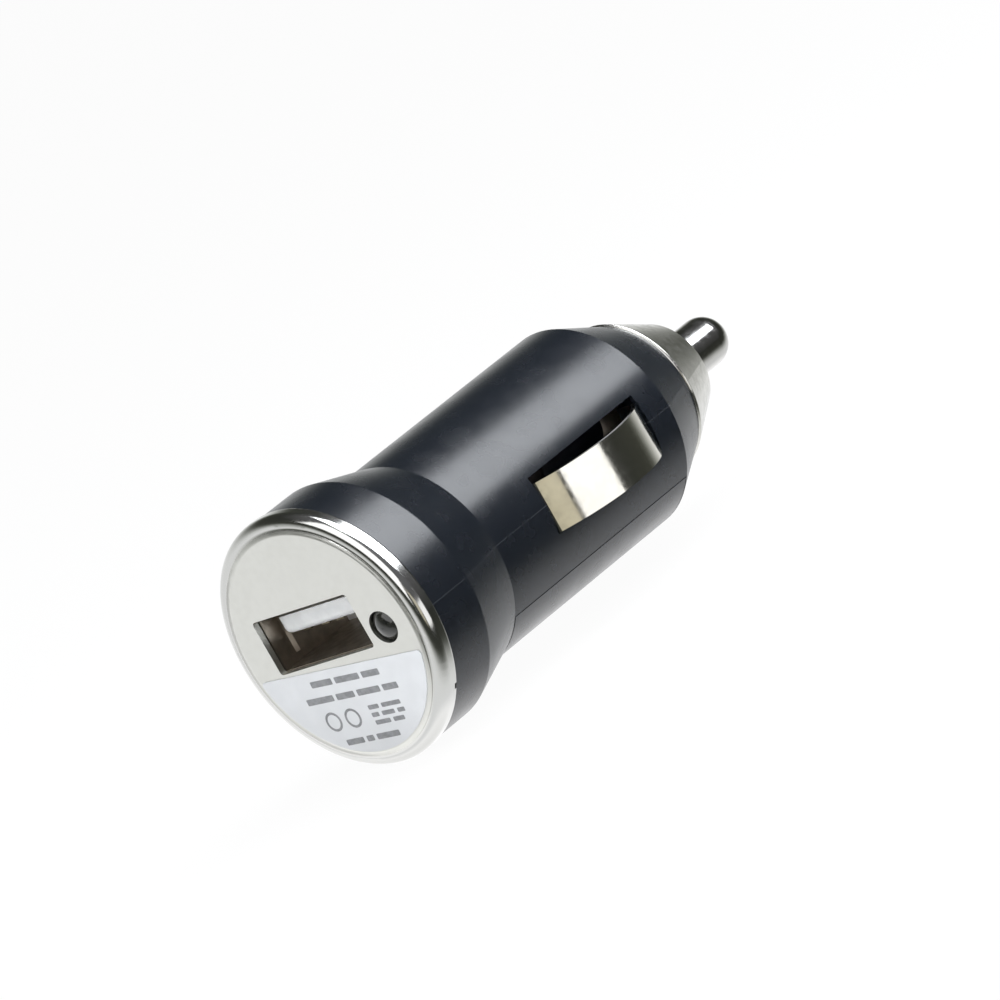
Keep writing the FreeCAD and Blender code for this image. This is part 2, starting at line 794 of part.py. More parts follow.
def usb_tongue():
    """Moulded block at the back of the sleeve with the tongue that the plug slides under."""
    body = new_body("usb_tongue")
    sleeve_end = shell_front + mm.usb_shell_length
    block_front = sleeve_end - mm.usb_block_length
    block = new_sketch(body, "block_outline", "XZ_Plane", -block_front)
    outline(block, rectangle(-mm.usb_side, mm.usb_height,
                             mm.usb_opening_width - mm.usb_block_gap * 2,
                             mm.usb_opening_height - mm.usb_block_gap * 2))
    extrude(body, "Pad", "block", block, mm.usb_block_length, reverse=True)
    plan = new_sketch(body, "tongue_outline", "XY_Plane", tongue_bottom)
    half = mm.tongue_width / 2
    left, right = -mm.usb_side - half, -mm.usb_side + half
    corner = mm.tongue_corner
    outline(plan, [
        (right - corner, mm.tongue_recess),
        (right, mm.tongue_recess + corner, corner, 1),
        (right, block_front),
        (left, block_front),
        (left, mm.tongue_recess + corner),
        (left + corner, mm.tongue_recess, corner, 1),
    ])
    tongue = extrude(body, "Pad", "tongue", plan, mm.tongue_thickness)
    doc.recompute()

    def on_front_edge(middle):
        at_bottom = math.isclose(middle.z, tongue_bottom.value, abs_tol=SAME_PLACE)
        return at_bottom and middle.y < (mm.tongue_recess + corner).value

    lead_in = body.newObject("PartDesign::Fillet", "tongue_lead_in")
    lead_in.Base = (tongue, edges_at(tongue, on_front_edge))
    bind(lead_in, "Radius", mm.tongue_lead_in)
    finish(body, "usb_tongue", NO_TURN)


def usb_contacts():
    """Spring strips under the tongue."""
    start = mm.tongue_recess + mm.strip_setback
    length = shell_front + mm.usb_shell_length - mm.usb_block_length - start
    strips = []
    offsets = (-mm.strip_outer_offset, -mm.strip_inner_offset, mm.strip_inner_offset, mm.strip_outer_offset)
    for number, offset in enumerate(offsets, start=1):
        corner = (-mm.usb_side + offset - mm.strip_width / 2, start, tongue_bottom - mm.strip_thickness)
        strips.append(box(f"strip_{number}", (mm.strip_width, length, mm.strip_thickness), corner))
    finish(group("strips", strips), "usb_contacts")


def indicator_led():
    """Domed lamp with a flange at its base."""
    body = new_body("indicator_led")
    dome = mm.led_dome_radius
    dome_depth = dome - root(dome * dome - mm.led_radius * mm.led_radius)
    flange_start = led_base - mm.led_flange_thickness
    turned(body, "lamp", [
        (0, -mm.led_stand),
        (mm.led_radius, dome_depth - mm.led_stand, dome, 1),
        (mm.led_radius, flange_start),
        (mm.led_flange_radius, flange_start),
        (mm.led_flange_radius, led_base),
        (0, led_base),
    ])
    finish(body, "indicator_led", NO_TURN)
    bind(body, "Placement.Base.x", led_side)


def led_leads():
    """Two legs, from the lamp's base and down to the board."""
    width = mm.led_lead_width
    legs = []
    for number, side in enumerate((-1, 1), start=1):
        left = led_side + mm.led_lead_spacing / 2 * side - width / 2
        run = box(f"lead_run_{number}", (width, mm.led_lead_run, width), (left, led_base, -width / 2))
        drop = box(f"lead_drop_{number}", (width, width, -board_top),
                   (left, led_base + mm.led_lead_run - width, board_top))
        legs.append(combine("Fuse", f"lead_{number}", run, drop))
    finish(group("leads", legs), "led_leads")


def inductor_core():
    """Drum of the choke, standing on the board."""
    flanges = []
    for name, level in (("low", board_top), ("high", board_top + mm.choke_height - mm.choke_flange)):
        flanges.append(cylinder(f"drum_{name}_flange", mm.choke_radius, mm.choke_flange,
                                ZERO, mm.choke_station, level))
    waist = cylinder("drum_waist", mm.choke_waist_radius, mm.choke_height, ZERO, mm.choke_station, board_top)
    lower = combine("Fuse", "drum_lower", waist, flanges[0])
    finish(combine("Fuse", "drum", lower, flanges[1]), "inductor_core")


def inductor_winding():
    """Copper turns between the drum's flanges."""
    level = board_top + mm.choke_flange
    height = mm.choke_height - mm.choke_flange * 2
    full = cylinder("winding_full", mm.winding_radius, height, ZERO, mm.choke_station, level)
    inside = cylinder("winding_inside", mm.choke_waist_radius + mm.winding_gap, height,
                      ZERO, mm.choke_station, level)
    finish(combine("Cut", "winding", full, inside), "inductor_winding")


def can(name, label, radius, length, station, level, turn=NO_TURN):
    """Electrolytic capacitor with rounded ends."""
    plain = cylinder(name + "_plain", radius, length, ZERO, station, level, turn)
    doc.recompute()
    rounded = doc.addObject("Part::Fillet", name)
    rounded.Base = plain
    ends = [number for number, edge in enumerate(plain.Shape.Edges, start=1) if edge.Closed]
    edge_round = mm.can_edge_round.value
    rounded.Edges = [(number, edge_round, edge_round) for number in ends]
    finish(rounded, label)


def converter_chip():
    """Moulded chip under the board, with its lower edges bevelled."""
    low = board_bottom - mm.chip_lift - mm.chip_height
    plain = box("chip_plain", (mm.chip_width, mm.chip_length, mm.chip_height),
                (-mm.chip_width / 2, mm.chip_station, low))
    doc.recompute()
    bevelled = doc.addObject("Part::Chamfer", "chip")
    bevelled.Base = plain
    floor = plain.Shape.BoundBox.ZMin
    bevel = mm.chip_bevel.value
    bevelled.Edges = [
        (number, bevel, bevel)
        for number, edge in enumerate(plain.Shape.Edges, start=1)
        if math.isclose(edge.BoundBox.ZMax, floor, abs_tol=SAME_PLACE)
    ]
    finish(bevelled, "converter_chip")


def chip_leg(name, side, start):
    """One bent leg: an arm out of the chip, a drop to the board and a foot on it."""
    thickness = mm.chip_lead_thickness
    shoulder = mm.chip_lift + mm.chip_height / 2
    inner = mm.chip_width / 2
    outer = inner + mm.chip_lead_reach
    middle = inner + mm.chip_lead_reach / 2
    stretches = [
        ("arm", inner, middle, board_bottom - shoulder, thickness),
        ("drop", middle - thickness, middle, board_bottom - shoulder, shoulder),
        ("foot", middle - thickness, outer, board_bottom - thickness, thickness),
    ]
    pieces = []
    for suffix, near, far, low, height in stretches:
        left = near if side > 0 else -far
        size = (far - near, mm.chip_lead_width, height)
        pieces.append(box(f"{name}_{suffix}", size, (left, start, low)))
    arm, drop, foot = pieces
    return combine("Fuse", name, combine("Fuse", name + "_bend", arm, drop), foot)


def chip_leads():
    """Legs along both sides of the chip, flat on the board's underside."""
    legs = []
    first = mm.chip_station + mm.chip_length / 2 - mm.chip_lead_pitch * ((CHIP_LEADS_A_SIDE - 1) / 2)
    for side, hand in ((-1, "left"), (1, "right")):
        for number in range(CHIP_LEADS_A_SIDE):
            start = first + mm.chip_lead_pitch * number - mm.chip_lead_width / 2
            legs.append(chip_leg(f"chip_leg_{hand}_{number + 1}", side, start))
    finish(group("chip_legs", legs), "chip_leads")


def diode():
    body = box("diode_block", (mm.diode_width, mm.diode_length, mm.diode_height),
               (-mm.diode_width / 2, mm.diode_station, board_bottom - mm.diode_height))
    finish(body, "diode")


def chip_row(name, label, count, pitch, size, station):
    """A row of small blocks across the underside of the board."""
    blocks = []
    for number in range(count):
        centre = pitch * (number - (count - 1) / 2)
        corner = (centre - size[0] / 2, station, board_bottom - size[2])
        blocks.append(box(f"{name}_{number + 1}", size, corner))
    finish(group(name + "_row", blocks), label)


main_housing()
housing_cover()
end_cap()
face_label()
nose_ring()
centre_contact()
tip_spring()
spring_seat()
side_contact("right_contact", NO_TURN)
side_contact("left_contact", TO_LEFT_SIDE)
circuit_board()
usb_shell()
usb_tongue()
usb_contacts()
indicator_led()
led_leads()
inductor_core()
inductor_winding()
can("input_can", "input_capacitor", mm.input_can_radius, mm.input_can_length,
    mm.input_can_station, board_top + mm.input_can_radius, ALONG_AXIS)
can("output_can", "output_capacitor", mm.output_can_radius, mm.output_can_height,
    mm.output_can_station, board_top)
converter_chip()
chip_leads()
diode()
chip_row("resistor", "chip_resistors", RESISTOR_COUNT, mm.resistor_pitch,
         (mm.resistor_width, mm.resistor_length, mm.resistor_height), mm.resistor_station)
chip_row("ceramic", "chip_capacitors", CERAMIC_COUNT, mm.ceramic_pitch,
         (mm.ceramic_width, mm.ceramic_length, mm.ceramic_height), mm.ceramic_station)

doc.recompute()
for thing in doc.Objects:
    if {"Invalid", "Error"} & set(thing.State):
        raise RuntimeError(f"{thing.Name} did not build: {thing.State}")
for piece in finished:
    if piece.Shape.isNull() or not piece.Shape.isValid():
        raise RuntimeError(f"{piece.Label} has no sound shape")

os.makedirs("parts", exist_ok=True)
for piece in finished:
    piece.Shape.exportStep(f"parts/{piece.Label}.step")
    solids = piece.Shape.Solids
    print(f"{piece.Label}: {len(solids)} solids, {piece.Shape.Volume:.2f} mm3")
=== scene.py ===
import json
import math

import bmesh
import bpy
from mathutils import Matrix, Vector


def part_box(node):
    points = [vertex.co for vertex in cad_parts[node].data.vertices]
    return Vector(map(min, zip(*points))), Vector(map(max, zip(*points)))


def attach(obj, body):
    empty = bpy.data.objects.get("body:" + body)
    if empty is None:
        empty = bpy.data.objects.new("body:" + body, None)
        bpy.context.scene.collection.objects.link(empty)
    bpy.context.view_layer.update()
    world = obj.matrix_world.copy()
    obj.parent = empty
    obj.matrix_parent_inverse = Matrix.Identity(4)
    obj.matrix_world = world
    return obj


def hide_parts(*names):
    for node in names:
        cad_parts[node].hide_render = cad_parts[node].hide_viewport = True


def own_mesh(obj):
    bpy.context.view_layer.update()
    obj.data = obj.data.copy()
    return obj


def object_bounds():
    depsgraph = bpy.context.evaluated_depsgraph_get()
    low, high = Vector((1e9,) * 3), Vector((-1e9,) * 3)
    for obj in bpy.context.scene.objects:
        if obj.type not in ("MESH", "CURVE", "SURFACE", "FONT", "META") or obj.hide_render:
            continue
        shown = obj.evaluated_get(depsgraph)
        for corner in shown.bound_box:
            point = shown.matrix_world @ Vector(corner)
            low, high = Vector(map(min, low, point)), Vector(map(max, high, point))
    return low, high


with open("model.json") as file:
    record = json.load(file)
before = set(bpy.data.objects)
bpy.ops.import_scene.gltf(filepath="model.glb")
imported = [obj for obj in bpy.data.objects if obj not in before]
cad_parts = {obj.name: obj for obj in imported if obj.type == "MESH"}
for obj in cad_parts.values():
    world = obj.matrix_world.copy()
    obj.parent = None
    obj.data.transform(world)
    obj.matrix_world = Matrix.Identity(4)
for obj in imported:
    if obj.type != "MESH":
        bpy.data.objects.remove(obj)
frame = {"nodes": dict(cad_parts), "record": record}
cad_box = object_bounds()

MM = 0.001
NODES = frame["nodes"]

# Camera: where the photograph was taken from, in the part's own frame
CAMERA_AZIMUTH = math.radians(48.29)
CAMERA_ELEVATION = math.radians(10.52)
CAMERA_ROLL = math.radians(29.61)
CAMERA_DISTANCE = 785.4 * MM
CAMERA_AIM = Vector((5.75, 7.05, 1.86)) * MM
CAMERA_LENS = 324.05
CAMERA_NEAR = 10 * MM
CAMERA_FAR = 20.0

# The photograph's table leans against the part's frame: the camera looked down on it by this angle
TABLE_VIEW_ANGLE = math.radians(40.0)


def camera_axes():
    """The camera's right, up and back directions."""
    back = Vector((
        math.sin(CAMERA_AZIMUTH) * math.cos(CAMERA_ELEVATION),
        -math.cos(CAMERA_AZIMUTH) * math.cos(CAMERA_ELEVATION),
        math.sin(CAMERA_ELEVATION),
    ))
    level = Vector((math.cos(CAMERA_AZIMUTH), math.sin(CAMERA_AZIMUTH), 0.0))
    rise = back.cross(level)
    right = level * math.cos(CAMERA_ROLL) - rise * math.sin(CAMERA_ROLL)
    up = level * math.sin(CAMERA_ROLL) + rise * math.cos(CAMERA_ROLL)
    return right, up, back


def table_axes():
    """Right, ahead and up directions of the photograph's table."""
    right, up, back = camera_axes()
    table_up = up * math.cos(TABLE_VIEW_ANGLE) + back * math.sin(TABLE_VIEW_ANGLE)
    return right, table_up.cross(right), table_up


def table_direction(turn, rise):
    """Direction at an angle to the right of straight ahead and above the table, in degrees."""
    right, ahead, up = table_axes()
    turn, rise = math.radians(turn), math.radians(rise)
    level = ahead * math.cos(turn) + right * math.sin(turn)
    return level * math.cos(rise) + up * math.sin(rise)


def from_axes(right, up, back, place):
    """Matrix of an object with these axes at this place."""
    matrix = Matrix((right, up, back)).transposed().to_4x4()
    matrix.translation = place
    return matrix


def link(item):
    bpy.context.scene.collection.objects.link(item)
    return item


def make_camera():
    data = bpy.data.cameras.new("camera")
    data.lens = CAMERA_LENS
    data.clip_start = CAMERA_NEAR
    data.clip_end = CAMERA_FAR
    camera = link(bpy.data.objects.new("camera", data))
    right, up, back = camera_axes()
    camera.matrix_world = from_axes(right, up, back, CAMERA_AIM + back * CAMERA_DISTANCE)
    bpy.context.scene.camera = camera


# Nodes

# Parts of a noise's range over which a number or a colour drifts
NARROW_DRIFT = (0.35, 0.65)
BROAD_DRIFT = (0.3, 0.7)
# Detail of the noise behind a fine grain
GRAIN_DETAIL = 3.0


def add(tree, kind, inputs=None, **settings):
    """Adds a node. An input given as a socket is linked, any other value is set."""
    node = tree.nodes.new(kind)
    for name, value in settings.items():
        setattr(node, name, value)
    for key, value in (inputs or {}).items():
        if isinstance(value, bpy.types.NodeSocket):
            tree.links.new(value, node.inputs[key])
        else:
            node.inputs[key].default_value = value
    return node


def new_material(name, **settings):
    """A material with its main shader's constant sockets set."""
    material = bpy.data.materials.new(name)
    material.use_nodes = True
    shader = material.node_tree.nodes["Principled BSDF"]
    for socket, value in settings.items():
        shader.inputs[socket.replace("_", " ")].default_value = value
    return material, material.node_tree, shader


def object_point(tree):
    return add(tree, "ShaderNodeTexCoord").outputs["Object"]


def noise(tree, size, detail=2.0):
    """Noise whose features are about this size in metres."""
    settings = {"Vector": object_point(tree), "Scale": 1.0 / size, "Detail": detail}
    return add(tree, "ShaderNodeTexNoise", settings).outputs["Fac"]


def remap(tree, value, low, high, out_low, out_high):
    """Value from low to high as a smooth step from out_low to out_high."""
    settings = {
        "Value": value,
        "From Min": low, "From Max": high,
        "To Min": out_low, "To Max": out_high,
    }
    node = add(tree, "ShaderNodeMapRange", settings, interpolation_type="SMOOTHSTEP")
    return node.outputs["Result"]


def math_node(tree, operation, first, second=0.0):
    return add(tree, "ShaderNodeMath", {0: first, 1: second}, operation=operation).outputs[0]


def paint(tree, shader, factor, first, second):
    """Base colour that goes from one colour to another as the factor goes from 0 to 1."""
    node = add(tree, "ShaderNodeMix", data_type="RGBA")
    colours = [socket for socket in node.inputs if socket.type == "RGBA"]
    tree.links.new(factor, node.inputs[0])
    colours[0].default_value = (*first, 1.0)
    colours[1].default_value = (*second, 1.0)
    mixed = next(socket for socket in node.outputs if socket.type == "RGBA")
    tree.links.new(mixed, shader.inputs["Base Color"])


def bump(tree, shader, height, distance, strength=1.0):
    """Raises the surface by a height, on top of any bump that the shader already has."""
    settings = {"Height": height, "Distance": distance, "Strength": strength}
    for earlier in shader.inputs["Normal"].links:
        settings["Normal"] = earlier.from_socket
    node = add(tree, "ShaderNodeBump", settings)
    tree.links.new(node.outputs["Normal"], shader.inputs["Normal"])


def vary(tree, shader, socket, size, low, high):
    """Lets a socket drift between two values over patches of this size."""
    drift = remap(tree, noise(tree, size), *NARROW_DRIFT, low, high)
    tree.links.new(drift, shader.inputs[socket])


def tint(tree, shader, size, first, second):
    """Lets the base colour drift between two colours over patches of this size."""
    factor = remap(tree, noise(tree, size), *BROAD_DRIFT, 0.0, 1.0)
    paint(tree, shader, factor, first, second)


# Materials

PLASTIC_IOR = 1.51
PLASTIC_COLOUR = (0.0062, 0.0082, 0.012)
PLASTIC_ROUGHNESS = (0.24, 0.28)
PLASTIC_PATCH = 2.5 * MM
PLASTIC_GRAIN = 0.16 * MM
PLASTIC_GRAIN_HEIGHT = 0.012 * MM
PLASTIC_GRAIN_STRENGTH = 0.25
# Distances from the parting plane at which its line starts to fade and ends
PARTING_LINE = (0.03 * MM, 0.08 * MM)
PARTING_COLOUR = (0.020, 0.022, 0.026)


def black_plastic():
    """Moulded plastic with a fine spark-eroded grain.

    Its parting line lies in the plane of the side contacts.
    """
    material, tree, shader = new_material("black_plastic", IOR=PLASTIC_IOR)
    height = add(tree, "ShaderNodeSeparateXYZ", {0: object_point(tree)}).outputs["Z"]
    line = remap(tree, math_node(tree, "ABSOLUTE", height), *PARTING_LINE, 1.0, 0.0)
    paint(tree, shader, line, PLASTIC_COLOUR, PARTING_COLOUR)
    vary(tree, shader, "Roughness", PLASTIC_PATCH, *PLASTIC_ROUGHNESS)
    grain = noise(tree, PLASTIC_GRAIN, GRAIN_DETAIL)
    bump(tree, shader, grain, PLASTIC_GRAIN_HEIGHT, PLASTIC_GRAIN_STRENGTH)
    return material


METAL_CLOUD = 3.0 * MM
METAL_RUB = 0.6 * MM
METAL_RUB_SPREAD = (0.8, 1.3)
METAL_GRAIN = 0.2 * MM


def bright_metal(name, colour, shade, roughness, scratch):
    """Nickel-plated metal with slight clouding and fine rubbing marks; scratch in millimetres."""
    material, tree, shader = new_material(name, Metallic=1.0)
    tint(tree, shader, METAL_CLOUD, colour, shade)
    smoothest, roughest = METAL_RUB_SPREAD
    vary(tree, shader, "Roughness", METAL_RUB, roughness * smoothest, roughness * roughest)
    bump(tree, shader, noise(tree, METAL_GRAIN, GRAIN_DETAIL), scratch * MM)
    return material


CAP_FACE_COLOUR = (0.755, 0.755, 0.72)
CAP_RIM_COLOUR = (0.64, 0.64, 0.625)
CAP_FACE_ROUGHNESS = 0.36
CAP_RIM_ROUGHNESS = 0.14
# Radii between which the satin face gives way to the polished rim
CAP_RIM = (11.05 * MM, 11.25 * MM)
# Radii between which the pressed face rounds off towards its ledge
CAP_SHOULDER = (10.65 * MM, 11.4 * MM)
CAP_SHOULDER_DROP = 0.26 * MM
CAP_CLOUD = 0.5 * MM
CAP_CLOUD_SPREAD = (0.9, 1.1)
CAP_GRAIN = 0.15 * MM
CAP_GRAIN_HEIGHT = 0.0006 * MM


def bright_cap():
    """Plated cap: a satin face with a soft shoulder, inside a polished rim."""
    material, tree, shader = new_material("bright_cap", Metallic=1.0)
    split = add(tree, "ShaderNodeSeparateXYZ", {0: object_point(tree)}).outputs
    squares = [math_node(tree, "POWER", split[axis], 2.0) for axis in "XZ"]
    radius = math_node(tree, "SQRT", math_node(tree, "ADD", *squares))
    rim = remap(tree, radius, *CAP_RIM, 0.0, 1.0)
    paint(tree, shader, rim, CAP_FACE_COLOUR, CAP_RIM_COLOUR)
    gloss = remap(tree, rim, 0.0, 1.0, CAP_FACE_ROUGHNESS, CAP_RIM_ROUGHNESS)
    cloud = remap(tree, noise(tree, CAP_CLOUD), *BROAD_DRIFT, *CAP_CLOUD_SPREAD)
    tree.links.new(math_node(tree, "MULTIPLY", gloss, cloud), shader.inputs["Roughness"])
    bump(tree, shader, remap(tree, radius, *CAP_SHOULDER, 1.0, 0.0), CAP_SHOULDER_DROP)
    bump(tree, shader, noise(tree, CAP_GRAIN, GRAIN_DETAIL), CAP_GRAIN_HEIGHT)
    return material


PAPER_SHINE = {"Roughness": 0.45, "Coat_Weight": 0.15, "Coat_Roughness": 0.3}
PAPER_COLOURS = ((0.775, 0.79, 0.81), (0.735, 0.75, 0.77))
PAPER_CLOUD = 3.0 * MM
PAPER_GRAIN = 0.3 * MM
PAPER_GRAIN_HEIGHT = 0.004 * MM
PAPER_DETAIL = 4.0


def label_paper():
    """White coated paper."""
    material, tree, shader = new_material("label_paper", **PAPER_SHINE)
    tint(tree, shader, PAPER_CLOUD, *PAPER_COLOURS)
    bump(tree, shader, noise(tree, PAPER_GRAIN, PAPER_DETAIL), PAPER_GRAIN_HEIGHT)
    return material


INK_ROUGHNESS = 0.6
INK_COLOURS = ((0.24, 0.245, 0.255), (0.31, 0.315, 0.325))
INK_CLOUD = 0.4 * MM


def print_ink():
    """Grey ink that covers unevenly."""
    material, tree, shader = new_material("print_ink", Roughness=INK_ROUGHNESS)
    tint(tree, shader, INK_CLOUD, *INK_COLOURS)
    return material


LENS_SHINE = {"IOR": 1.5, "Coat_Weight": 0.6, "Coat_Roughness": 0.05}
LENS_COLOURS = ((0.012, 0.013, 0.012), (0.03, 0.03, 0.025))
LENS_CLOUD = 1.0 * MM
LENS_ROUGHNESS = (0.08, 0.16)
LENS_PATCH = 0.5 * MM


def smoky_lamp():
    """Dark clear lens."""
    material, tree, shader = new_material("smoky_lamp", **LENS_SHINE)
    tint(tree, shader, LENS_CLOUD, *LENS_COLOURS)
    vary(tree, shader, "Roughness", LENS_PATCH, *LENS_ROUGHNESS)
    return material


SOLID_GRAIN = 0.2 * MM
SOLID_ROUGHNESS_SPREAD = (0.85, 1.15)


def dull_solid(name, first, second, roughness, patch=1.0, grain=0.01, metallic=0.0):
    """Plain solid with drifting colour and a fine grain; patch and grain in millimetres."""
    material, tree, shader = new_material(name, Metallic=metallic)
    tint(tree, shader, patch * MM, first, second)
    smoothest, roughest = SOLID_ROUGHNESS_SPREAD
    vary(tree, shader, "Roughness", patch * MM, roughness * smoothest, roughness * roughest)
    bump(tree, shader, noise(tree, SOLID_GRAIN, GRAIN_DETAIL), grain * MM)
    return material


# Plated metals: colour, darker colour, roughness and depth of the rubbing marks in millimetres
BRIGHT_METALS = {
    "bright_ring": ((0.68, 0.67, 0.64), (0.62, 0.61, 0.58), 0.2, 0.0004),
    "bright_pin": ((0.56, 0.555, 0.54), (0.51, 0.505, 0.49), 0.15, 0.0003),
    "bright_leaf": ((0.84, 0.82, 0.76), (0.78, 0.76, 0.70), 0.12, 0.0004),
}
# Plain solids: the two colours, the roughness, and what else differs from a plain solid
PLATED = {"grain": 0.0004, "metallic": 1.0}
DULL_SOLIDS = {
    "spring_steel": ((0.52, 0.52, 0.5), (0.42, 0.42, 0.41), 0.3, {"metallic": 1.0}),
    "plated_steel": ((0.54, 0.48, 0.41), (0.44, 0.39, 0.33), 0.34, PLATED),
    # Board: green, darkened further as painted shade where it is seen through the contact slot
    "board": ((0.012, 0.06, 0.03), (0.02, 0.08, 0.04), 0.5, {}),
    "white_plastic": ((0.82, 0.83, 0.83), (0.76, 0.77, 0.77), 0.35, {"grain": 0.002}),
    "gilt": ((0.22, 0.19, 0.13), (0.17, 0.15, 0.10), 0.4, PLATED),
    "ferrite": ((0.06, 0.06, 0.065), (0.1, 0.1, 0.105), 0.6, {}),
    "copper": ((0.5, 0.22, 0.1), (0.4, 0.16, 0.07), 0.4, {"patch": 0.4, "metallic": 1.0}),
    # Can: near black, a painted shade for where it is seen inside the contact slot
    "can": ((0.012, 0.013, 0.02), (0.02, 0.021, 0.03), 0.45, {}),
    "chip_black": ((0.02, 0.02, 0.02), (0.04, 0.04, 0.04), 0.5, {}),
    "ceramic_dark": ((0.03, 0.03, 0.03), (0.06, 0.06, 0.06), 0.35, {}),
    "ceramic_tan": ((0.5, 0.38, 0.24), (0.42, 0.31, 0.19), 0.5, {}),
}


def make_materials():
    """One material for each slot that the record names."""
    materials = {
        "black_plastic": black_plastic(),
        "bright_cap": bright_cap(),
        "label": label_paper(),
        "smoky_lamp": smoky_lamp(),
    }
    for name, finish in BRIGHT_METALS.items():
        materials[name] = bright_metal(name, *finish)
    for name, (first, second, roughness, others) in DULL_SOLIDS.items():
        materials[name] = dull_solid(name, first, second, roughness, **others)
    return materials


# The sheared edges of the leaves are broken, so they catch the light
LEAVES = ("right_contact", "left_contact")
LEAF_EDGE = 0.06 * MM
LEAF_EDGE_STEPS = 2


def dress_nodes(materials):
    """Gives each CAD node its slot's material, and the leaves their broken edges."""
    for subpart in frame["record"]["subparts"]:
        node = NODES[subpart["node"]]
        for slot in node.material_slots:
            slot.material = materials[subpart["material_slot"]]
    for name in LEAVES:
        edge = NODES[name].modifiers.new("broken_edges", "BEVEL")
        edge.width = LEAF_EDGE
        edge.segments = LEAF_EDGE_STEPS


# Pieces that the scene adds

LABEL_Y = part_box("face_label")[0].y
PRINT_THICKNESS = 0.015 * MM
PRINT_CORNER = 0.1 * MM
# The print follows the label, which is stuck on at a slight tilt
PRINT_TILT = math.radians(3.6)
CORNER_STEPS = 4
# Rows of plain bars on the label, in millimetres:
# height on the face, bar height, left edge and bar lengths
BAR_GAP = 0.4
BAR_ROWS = [
    (-3.35, 0.6, -4.5, (2.7, 3.1, 2.2)),
    (-4.9, 0.6, -6.0, (3.4, 2.3, 2.9, 1.9)),
    (-6.45, 0.42, 0.9, (1.3, 2.4)),
    (-7.2, 0.42, 0.9, (0.9, 1.6, 0.9)),
    (-7.95, 0.42, 0.9, (1.9, 1.4)),
    (-9.25, 0.55, -3.7, (2.2, 0.9, 2.9)),
]
# Two plain rings beside the short rows
RING_CENTRES = ((-4.0, -7.1), (-1.5, -7.1))
RING_RADIUS = 0.95
RING_LINE = 0.24
RING_STEPS = 32


def rounded_outline(left, right, bottom, top, corner):
    """Corners of a bar with rounded ends, going round once."""
    points = []
    corners = [
        (right, top, -1, -1),
        (left, top, 1, -1),
        (left, bottom, 1, 1),
        (right, bottom, -1, 1),
    ]
    for quarter, (x, z, inward_x, inward_z) in enumerate(corners):
        for step in range(CORNER_STEPS + 1):
            angle = math.pi / 2 * (quarter + step / CORNER_STEPS)
            points.append((
                x + inward_x * corner + corner * math.cos(angle),
                z + inward_z * corner + corner * math.sin(angle),
            ))
    return points


def raise_face(mesh, face):
    """Thickens a flat face on the label into a plate."""
    lifted = bmesh.ops.extrude_face_region(mesh, geom=[face])["geom"]
    corners = [item for item in lifted if isinstance(item, bmesh.types.BMVert)]
    bmesh.ops.translate(mesh, vec=(0.0, -PRINT_THICKNESS, 0.0), verts=corners)


def add_bar(mesh, left, right, middle, height):
    bottom, top = middle - height / 2, middle + height / 2
    outline = rounded_outline(left, right, bottom, top, PRINT_CORNER)
    face = mesh.faces.new([mesh.verts.new((x, LABEL_Y, z)) for x, z in outline])
    raise_face(mesh, face)


def add_ring(mesh, x, z):
    inner, outer = RING_RADIUS - RING_LINE, RING_RADIUS
    loops = []
    for radius in (inner, outer):
        loop = []
        for step in range(RING_STEPS):
            angle = 2 * math.pi * step / RING_STEPS
            place = Vector((x + radius * math.cos(angle), 0.0, z + radius * math.sin(angle))) * MM
            loop.append(mesh.verts.new(place + Vector((0.0, LABEL_Y, 0.0))))
        loops.append(loop)
    for step in range(RING_STEPS):
        after = (step + 1) % RING_STEPS
        face = mesh.faces.new((loops[0][step], loops[0][after], loops[1][after], loops[1][step]))
        raise_face(mesh, face)


def make_label_print():
    """Plain bars and rings where such a label has its print."""
    mesh = bmesh.new()
    for middle, height, left, lengths in BAR_ROWS:
        for length in lengths:
            add_bar(mesh, left * MM, (left + length) * MM, middle * MM, height * MM)
            left += length + BAR_GAP
    for x, z in RING_CENTRES:
        add_ring(mesh, x, z)
    bmesh.ops.rotate(mesh, matrix=Matrix.Rotation(PRINT_TILT, 3, "Y"), verts=mesh.verts)
    bmesh.ops.recalc_face_normals(mesh, faces=mesh.faces)
    data = bpy.data.meshes.new("label_print")
    mesh.to_mesh(data)
    mesh.free()
    piece = link(bpy.data.objects.new("label_print", data))
    data.materials.append(print_ink())
    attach(piece, "housing")


SPRING_TURNS = 5.0
SPRING_STEPS = 24
SPRING_WIRE = 0.5 * MM
SPRING_WIRE_STEPS = 3


def make_spring(materials):
    """The spring behind the centre contact."""
    low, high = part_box("tip_spring")
    radius = (high.x - low.x - SPRING_WIRE) / 2
    start, end = low.y + SPRING_WIRE / 2, high.y - SPRING_WIRE / 2
    count = int(SPRING_TURNS * SPRING_STEPS)
    curve = bpy.data.curves.new("spring_path", "CURVE")
    curve.dimensions = "3D"
    curve.bevel_depth = SPRING_WIRE / 2
    curve.bevel_resolution = SPRING_WIRE_STEPS
    curve.use_fill_caps = True
    spline = curve.splines.new("POLY")
    spline.points.add(count)
    for step, point in enumerate(spline.points):
        angle = 2 * math.pi * step / SPRING_STEPS
        along = start + (end - start) * step / count
        point.co = (radius * math.cos(angle), along, radius * math.sin(angle), 1.0)
    path = bpy.data.objects.new("spring_path", curve)
    data = bpy.data.meshes.new_from_object(path)
    bpy.data.objects.remove(path)
    data.name = "contact_spring"
    data.polygons.foreach_set("use_smooth", [True] * len(data.polygons))
    piece = link(bpy.data.objects.new("contact_spring", data))
    data.materials.clear()
    data.materials.append(materials["spring_steel"])
    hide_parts("tip_spring")
    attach(piece, "housing")
    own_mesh(piece)
